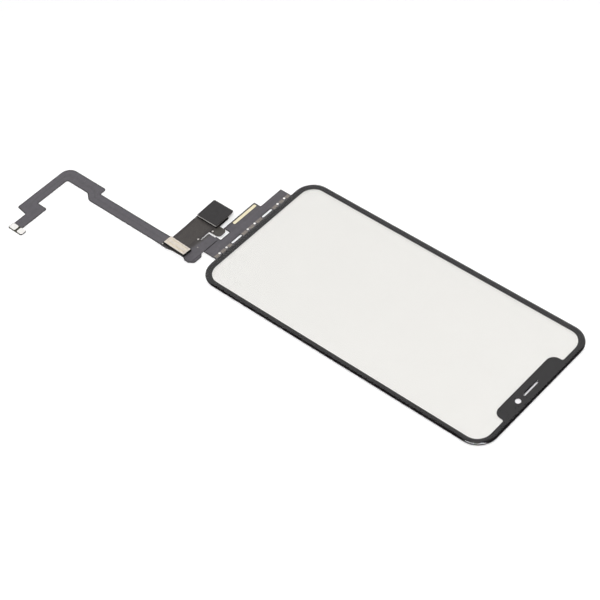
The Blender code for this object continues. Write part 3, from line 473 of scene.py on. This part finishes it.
def make_materials():
    """Every material by name."""
    made = {
        "glass": clear("front_glass", GLASS_TINT, GLASS_ROUGH, GLASS_FREE_ABOVE, smooth=RIM_BLEND),
        "adhesive": clear("optical_adhesive", ADHESIVE_TINT, ADHESIVE_ROUGH),
        "film": clear("sensor_film", FILM_TINT, FILM_ROUGH, free_below=FILM_FREE_BELOW),
        "tail": tail_margin(),
        "controller": controller_cover(),
    }
    made.update({finish: coated(*row) for finish, row in COATINGS.items()})
    made.update({finish: metal(*row) for finish, row in METALS.items()})
    return made


# Geometry


def top_of(node):
    """A function that gives the height of a CAD node's top at a place."""
    tree = BVHTree.FromObject(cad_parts[node], bpy.context.evaluated_depsgraph_get())

    def height(x, y):
        return tree.ray_cast(Vector((x, y, RAY_START)), Vector((0, 0, -1)))[0].z

    return height


def plane_of(node, side):
    """A function that gives the height of the plane through a CAD node's upper (1) or lower (-1) face."""
    faces = [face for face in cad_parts[node].data.polygons if face.normal.z * side > UPWARD]
    face = max(faces, key=lambda found: found.area)
    middle, slope = face.center.copy(), face.normal / face.normal.z

    def height(x, y):
        return middle.z - (x - middle.x) * slope.x - (y - middle.y) * slope.y

    return height


def top_outlines(node):
    """The closed lines round a CAD node's upward faces, each with the material on its left."""
    work = bmesh.new()
    work.from_mesh(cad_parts[node].data)
    bmesh.ops.remove_doubles(work, verts=work.verts, dist=WELD)
    follows = {}
    for face in work.faces:
        if face.normal.z < UPWARD:
            continue
        for corner in face.loops:
            beside = [other for other in corner.edge.link_faces if other != face]
            if not beside or beside[0].normal.z < UPWARD:
                start, end = corner.vert.co, corner.link_loop_next.vert.co
                follows[tuple(start)] = tuple(end)
    work.free()
    outlines = []
    while follows:
        here, after = follows.popitem()
        line = [here]
        while after in follows:
            line.append(after)
            after = follows.pop(after)
        outlines.append(np.array(line)[:, :2])
    return sorted(outlines, key=len, reverse=True)


def divided(line, step, closed=False):
    """The same line with points no further apart than a step."""
    points = []
    ends = list(line[1:]) + ([line[0]] if closed else [])
    for start, end in zip(line, ends):
        start, end = np.array(start, float), np.array(end, float)
        pieces = max(1, math.ceil(np.linalg.norm(end - start) / step))
        points += [start + (end - start) * index / pieces for index in range(pieces)]
    if not closed:
        points.append(np.array(line[-1], float))
    return np.array(points)


def straightened(points, closed=False):
    """The same line without the points where it doesn't turn."""
    into = points - np.roll(points, 1, axis=0)
    out = np.roll(points, -1, axis=0) - points
    turn = into[:, 0] * out[:, 1] - into[:, 1] * out[:, 0]
    reach = np.linalg.norm(into, axis=1) * np.linalg.norm(out, axis=1)
    kept = np.abs(turn) > LEAST_BEND * reach
    if not closed:
        kept[[0, -1]] = True
    return points[kept]


def inset(outline, distance):
    """A line this far inside an outline, without the stretches that fold over at tight corners."""
    points = divided(outline, OUTLINE_STEP, closed=True)
    along = np.roll(points, -1, axis=0) - np.roll(points, 1, axis=0)
    along /= np.linalg.norm(along, axis=1, keepdims=True)
    moved = points + distance * np.stack((-along[:, 1], along[:, 0]), axis=1)
    gaps = np.array([np.linalg.norm(points - place, axis=1).min() for place in moved])
    return moved[gaps > distance - OUTLINE_SLACK]


def rounded(corners, pieces=8):
    """An open line through (x, y, radius) corners, with arcs at those that have a radius."""
    points = [corners[0][:2]]
    for before, (x, y, radius), after in zip(corners, corners[1:], corners[2:]):
        into = math.atan2(y - before[1], x - before[0])
        out = math.atan2(after[1] - y, after[0] - x)
        turn = math.remainder(out - into, math.tau)
        side = math.copysign(1, turn)
        back = radius * math.tan(abs(turn) / 2)
        start = (x - back * math.cos(into), y - back * math.sin(into))
        centre = (start[0] - side * radius * math.sin(into), start[1] + side * radius * math.cos(into))
        for piece in range(pieces + 1):
            angle = into + turn * piece / pieces
            points.append(
                (centre[0] + side * radius * math.sin(angle), centre[1] - side * radius * math.cos(angle))
            )
    points.append(corners[-1][:2])
    return points


def rounded_box(low, high, margin, radius):
    """The closed line of a rounded rectangle round a box, this far outside it."""
    left, right = low.x - margin, high.x + margin
    bottom, top = low.y - margin, high.y + margin
    middle = (left + right) / 2
    line = rounded(
        [
            (middle, bottom, 0),
            (right, bottom, radius),
            (right, top, radius),
            (left, top, radius),
            (left, bottom, radius),
            (middle, bottom, 0),
        ]
    )
    return line[:-1]


def finish_piece(name, work, material):
    """A piece of the object from its mesh, riding on the one body."""
    mesh = bpy.data.meshes.new(name)
    bmesh.ops.recalc_face_normals(work, faces=work.faces)
    work.to_mesh(mesh)
    work.free()
    mesh.materials.append(material)
    piece = bpy.data.objects.new(name, mesh)
    bpy.context.scene.collection.objects.link(piece)
    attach(piece, "root")
    return piece


def add_ribbon(work, line, width, thickness, height):
    """Add a flat strip along an open line of points, lying on the surface that height gives."""
    line = [Vector(point[:2]) for point in line]
    rings = []
    for index, here in enumerate(line):
        into = (here - line[index - 1]).normalized() if index else None
        out = (line[index + 1] - here).normalized() if index + 1 < len(line) else into
        into = into or out
        along = (into + out).normalized()
        side = Vector((-along.y, along.x)) * width / 2 / max(LEAST_MITRE, along.dot(out))
        left, right = here - side, here + side
        low = height(here.x, here.y)
        top = low + thickness
        ring = [(left, low), (right, low), (right, top), (left, top)]
        rings.append([work.verts.new((place.x, place.y, z)) for place, z in ring])
    for before, after in zip(rings, rings[1:]):
        for index in range(4):
            other = (index + 1) % 4
            work.faces.new((before[index], before[other], after[other], after[index]))
    work.faces.new(rings[0])
    work.faces.new(rings[-1][::-1])


def add_plate(work, outlines, thickness, height, cuts=()):
    """Add a flat plate inside closed lines, lying on the surface that height gives."""
    flat = bmesh.new()
    for outline in outlines:
        corners = [flat.verts.new((*point, 0)) for point in outline]
        for start, end in zip(corners, corners[1:] + corners[:1]):
            flat.edges.new((start, end))
    bmesh.ops.triangle_fill(flat, use_beauty=True, use_dissolve=False, edges=flat.edges)
    for place in cuts:
        everything = [*flat.verts, *flat.edges, *flat.faces]
        bmesh.ops.bisect_plane(flat, geom=everything, dist=WELD, plane_co=(0, place, 0), plane_no=(0, 1, 0))
    for vertex in flat.verts:
        vertex.co.z = height(vertex.co.x, vertex.co.y)
    raised = bmesh.ops.extrude_face_region(flat, geom=list(flat.faces))["geom"]
    for thing in raised:
        if isinstance(thing, bmesh.types.BMVert):
            thing.co.z += thickness
    mesh = bpy.data.meshes.new("plate")
    flat.to_mesh(mesh)
    flat.free()
    work.from_mesh(mesh)
    bpy.data.meshes.remove(mesh)


# Pieces over the circuits


def shade_flap_pad(materials):
    """Painted shade: a black pad round two sides of the chip, which fills the gap below the folded flap's
    edges with dark where there is only shade.
    """
    chip_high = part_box("touch_chip")[1]
    flap_low, flap_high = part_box("flap_tape")
    right, near = flap_high.x + PAD_REACH, flap_high.y - PAD_INSET
    left = flap_low.x + PAD_START * (flap_high.x - flap_low.x)
    inner_x, inner_y = chip_high.x + PAD_GAP, chip_high.y + PAD_GAP
    outline = [
        (left, inner_y),
        (inner_x, inner_y),
        (inner_x, flap_low.y + PAD_INSET),
        (right, flap_low.y + PAD_INSET),
        (right, near),
        (left, near),
    ]
    lower, upper = plane_of("touch_chip", -1), plane_of("touch_chip", 1)
    thickness = upper(right, near) - lower(right, near)
    work = bmesh.new()
    add_plate(work, [outline], thickness, lower)
    board_edge = chip_high.y + PAD_BOARD_EDGE
    lip = [(left, board_edge), (chip_high.x, board_edge), (chip_high.x, flap_high.y), (left, flap_high.y)]
    add_plate(work, [lip], thickness + PAD_LIP, lambda x, y: lower(x, y) - PAD_LIP)
    finish_piece("flap_shade_pad", work, materials["shade_black"])


def shade_connector_skirt(materials):
    """Painted shade: a thin black skirt over the lower part of the connector's sides, round the cream
    insulator.
    """
    outer = straightened(top_outlines("connector_housing")[0], closed=True)
    around = inset(outer, -SKIRT_THICKNESS)
    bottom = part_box("connector_base")[1].z
    work = bmesh.new()
    add_plate(work, [around, inset(outer, 0)[::-1]], SKIRT_HEIGHT, lambda x, y: bottom)
    finish_piece("connector_shade_skirt", work, materials["black_plastic"])


def shade_lap_edge(materials):
    """Painted shadow: a low dark ribbon along the edge where the controller circuit laps over the bonded
    one.
    """
    low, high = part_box("lap_bond")
    strip = top_of("bonding_flex")
    middle = high.y + LAP_EDGE + SHADE_LINE_WIDTH / 2
    work = bmesh.new()
    line = [(low.x - SHADE_LINE_OVERRUN, middle), (high.x + SHADE_LINE_OVERRUN, middle)]
    add_ribbon(work, line, SHADE_LINE_WIDTH, SHADE_LINE_HEIGHT, lambda x, y: strip(x, y) + COVER_THICKNESS)
    finish_piece("lap_shade_line", work, materials["shade_black"])


def cover_tail(materials):
    """The film over the tail's copper, and the lines under it."""
    outline = top_outlines("tail_flex")[0]
    height = top_of("tail_flex")
    edge = inset(outline, COVER_MARGIN)
    edge = straightened(edge[edge[:, 0] < TERMINAL_X], closed=True)
    work = bmesh.new()
    cuts = [SINK_FROM + (SINK_TO - SINK_FROM) * index / SINK_CUTS for index in range(SINK_CUTS + 1)]
    add_plate(work, [edge], COVER_THICKNESS, height, cuts)
    finish_piece("tail_cover", work, materials["slate"])

    def on_cover(x, y):
        return height(x, y) + COVER_THICKNESS

    work = bmesh.new()
    for distance in TAIL_LINE_INSETS:
        line = inset(outline, distance)
        shown = (line[:, 1] < TAIL_LINES_FROM_Y) & (line[:, 0] < TERMINAL_X)
        first = np.flatnonzero(shown & ~np.roll(shown, 1))
        for start in first:
            rolled = np.roll(line, -start, axis=0)
            length = int(np.argmin(np.roll(shown, -start)))
            if length > LEAST_RUN:
                points = divided(straightened(rolled[:length]), LINE_STEP)
                add_ribbon(work, points, TAIL_LINE_WIDTH, LINE_THICKNESS, on_cover)
    finish_piece("tail_lines", work, materials["line"])


def fiducials():
    """The middles of the round pads beside the glass edge, from left to right."""
    middles = []
    for number in range(1, FIDUCIAL_COUNT + 1):
        low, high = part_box(f"fiducial_pad_{number}")
        middles.append((low + high) / 2)
    return middles


def cover_strip(materials):
    """The film over the bonded circuit's copper, the fingers of its joint and its lines."""
    outer, *slots = top_outlines("bonding_flex")
    height = top_of("bonding_flex")
    work = bmesh.new()
    edges = [straightened(inset(edge, COVER_MARGIN), closed=True) for edge in (outer, *slots)]
    add_plate(work, edges, COVER_THICKNESS, height)
    finish_piece("strip_cover", work, materials["slate"])

    def on_cover(x, y):
        return height(x, y) + COVER_THICKNESS

    pads = fiducials()
    radius = (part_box("fiducial_pad_1")[1].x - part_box("fiducial_pad_1")[0].x) / 2
    taken = [(pad.x - radius - PAD_CLEARANCE, pad.x + radius + PAD_CLEARANCE) for pad in pads]
    taken += [(slot[:, 0].min() - SLOT_CLEARANCE, slot[:, 0].max() + SLOT_CLEARANCE) for slot in slots]
    glass_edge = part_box("cover_glass")[0].y
    left, right = outer[:, 0].min() + FINGER_ROW_END, outer[:, 0].max() - FINGER_ROW_END
    work = bmesh.new()
    for index in range(int((right - left) / FINGER_PITCH) + 1):
        x = left + index * FINGER_PITCH
        if any(start < x < end for start, end in taken):
            continue
        line = [(x, glass_edge + FINGER_COVERED), (x, FINGER_FAR_Y)]
        add_ribbon(work, line, FINGER_WIDTH, LINE_THICKNESS, on_cover)
    finish_piece("bonding_fingers", work, materials["finger"])

    work = bmesh.new()
    middles = [(pads[index].x + pads[index + 1].x) / 2 for index in (0, 2, 4)]
    starts = [middle + offset for middle in middles for offset in STRIP_LINE_OFFSETS]
    for index, x in enumerate(starts):
        y = STRIP_LINE_FIRST_Y + index * STRIP_LINE_PITCH
        end_x = max(STRIP_LINE_END_X + index * STRIP_LINE_END_PITCH, x + STRIP_LINE_LEAST_RUN)
        corners = [
            (x, FINGER_FAR_Y, 0),
            (x, y, STRIP_LINE_BEND),
            (end_x, y, STRIP_LINE_BEND),
            (end_x, STRIP_LINE_LAST_Y, 0),
        ]
        add_ribbon(work, rounded(corners, STRIP_BEND_PIECES), STRIP_LINE_WIDTH, LINE_THICKNESS, on_cover)
    finish_piece("strip_lines", work, materials["line"])

    low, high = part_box("ground_strip")
    inner = rounded_box(low, high, GROUND_FRAME_CLEARANCE, GROUND_STRIP_CORNER)
    around = rounded_box(low, high, GROUND_FRAME_WIDTH, GROUND_FRAME_CORNER)
    work = bmesh.new()
    add_plate(work, [around, inner[::-1]], GROUND_FRAME_THICKNESS, on_cover)
    finish_piece("ground_strip_frame", work, materials["frame"])


def line_board(materials):
    """The lines on the controller circuit, from beside the connector to under the flap."""
    height = top_of("controller_flex")
    work = bmesh.new()
    for index in range(BOARD_LINE_COUNT):
        y = BOARD_LINE_FIRST_Y - index * BOARD_LINE_PITCH
        line = divided([(BOARD_LINE_START_X, y), (BOARD_LINE_END_X, y)], LINE_STEP / 2)
        add_ribbon(work, line, BOARD_LINE_WIDTH, LINE_THICKNESS, height)
    finish_piece("board_lines", work, materials["brown_line"])


def line_sensor(materials):
    """The silver lines on the sensor film, which only its back shows."""
    film_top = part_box("touch_sensor_film")[1].z + SENSOR_LINE_HEIGHT
    end_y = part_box("bond_strip")[1].y + SENSOR_LINE_END
    work = bmesh.new()

    def flat(x, y):
        return film_top

    for side in (-1, 1):
        for index in range(SENSOR_LINE_COUNT):
            offset = SENSOR_LINE_INSET + index * SENSOR_LINE_PITCH
            x = WINDOW_HALF_WIDTH + offset
            y = WINDOW_END_Y - offset
            row_y = SENSOR_FIRST_ROW_Y + index * SENSOR_ROW_PITCH
            drop_x = SENSOR_DROP_X - (SENSOR_LINE_COUNT - 1 - index) * SENSOR_DROP_PITCH
            corners = [
                (side * (WINDOW_HALF_WIDTH + SENSOR_LINE_END), row_y, 0),
                (side * x, row_y, SENSOR_LINE_BEND),
                (side * x, y, WINDOW_CORNER + offset),
                (side * drop_x, y, SENSOR_LINE_BEND),
                (side * drop_x, end_y, 0),
            ]
            add_ribbon(work, rounded(corners, SENSOR_BEND_PIECES), SENSOR_LINE_WIDTH, LINE_THICKNESS, flat)
    for index in range(SENSOR_COLUMN_COUNT):
        x = (index - (SENSOR_COLUMN_COUNT - 1) / 2) * SENSOR_COLUMN_PITCH
        line = [(x, WINDOW_END_Y + SENSOR_COLUMN_START), (x, end_y)]
        add_ribbon(work, line, SENSOR_LINE_WIDTH, LINE_THICKNESS, flat)
    finish_piece("sensor_lines", work, materials["silver"])


# Finish of the CAD nodes


def dress_nodes(materials):
    """Give every CAD node its finish."""
    for name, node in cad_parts.items():
        base = name.rstrip("0123456789").rstrip("_")
        for place in node.material_slots:
            place.material = materials[NODE_FINISH.get(name) or NODE_FINISH[base]]


# Studio


def make_floor():
    """A plain pale floor that shows white to the camera, to reflections and through the glass."""
    mesh = bpy.data.meshes.new("floor")
    half = FLOOR_SIZE / 2
    corners = [(x * half, y * half, -FLOOR_DEPTH) for x, y in ((-1, -1), (1, -1), (1, 1), (-1, 1))]
    mesh.from_pydata(corners, [], [(0, 1, 2, 3)])
    floor = bpy.data.objects.new("floor", mesh)
    bpy.context.scene.collection.objects.link(floor)
    material, tree, shader = start_material("pale_floor")
    shader.inputs["Base Color"].default_value = FLOOR_COLOUR
    shader.inputs["Roughness"].default_value = 1.0
    shader.inputs["Specular IOR Level"].default_value = 0.0
    path = add(tree, "LightPath")
    seen = math_node(tree, "MAXIMUM", path.outputs["Is Camera Ray"], path.outputs["Is Transmission Ray"])
    seen = math_node(tree, "MAXIMUM", seen, path.outputs["Is Glossy Ray"])
    shader.inputs["Emission Color"].default_value = WHITE
    tree.links.new(math_node(tree, "MULTIPLY", seen, FLOOR_GLOW), shader.inputs["Emission Strength"])
    mesh.materials.append(material)


def make_sky():
    """A white sweep behind the object that fades to a dark room behind the camera."""
    world = bpy.data.worlds.new("studio")
    world.use_nodes = True
    tree = world.node_tree
    background = tree.nodes["Background"]
    direction = add(tree, "TexCoord").outputs["Generated"]
    away = add(tree, "VectorMath", {0: direction, 1: SKY_AWAY}, operation="DOT_PRODUCT").outputs["Value"]
    sweep = ranged(tree, away, SKY_DARK, SKY_BRIGHT, *SKY_FADE)
    path = add(tree, "LightPath")
    straight = math_node(tree, "MAXIMUM", path.outputs["Is Camera Ray"], path.outputs["Is Transmission Ray"])
    straight = math_node(tree, "SUBTRACT", straight, path.outputs["Diffuse Depth"])
    tree.links.new(math_node(tree, "MAXIMUM", sweep, straight), background.inputs["Strength"])
    background.inputs["Color"].default_value = WHITE
    bpy.context.scene.world = world


def make_lamps():
    """The studio's area lamps, each turned towards the object."""
    for name, place, width, length, power, lights in LAMPS:
        lamp = bpy.data.lights.new(name, "AREA")
        lamp.shape = "RECTANGLE"
        lamp.size = width
        lamp.size_y = length
        lamp.energy = power
        holder = bpy.data.objects.new(name, lamp)
        holder.visible_diffuse = lights
        bpy.context.scene.collection.objects.link(holder)
        holder.location = place
        holder.rotation_euler = (-Vector(place)).to_track_quat("-Z", "Y").to_euler()


def make_camera():
    """The camera at the photograph's place, angle and field of view."""
    lens = bpy.data.cameras.new("camera")
    lens.lens = CAMERA_LENS
    lens.sensor_width = CAMERA_SENSOR
    lens.sensor_fit = "HORIZONTAL"
    lens.clip_start = CAMERA_NEAR
    camera = bpy.data.objects.new("camera", lens)
    bpy.context.scene.collection.objects.link(camera)
    right, back = Vector(CAMERA_RIGHT), -Vector(CAMERA_FORWARD)
    up = back.cross(right)
    turn = Matrix((right, up, back)).transposed()
    camera.matrix_world = Matrix.Translation(CAMERA_PLACE) @ turn.to_4x4()
    bpy.context.scene.camera = camera


make_camera()
materials = make_materials()
dress_nodes(materials)
shade_flap_pad(materials)
shade_connector_skirt(materials)
shade_lap_edge(materials)
cover_tail(materials)
cover_strip(materials)
line_board(materials)
line_sensor(materials)
make_floor()
make_sky()
make_lamps()
bpy.context.scene.view_settings.view_transform = "Standard"
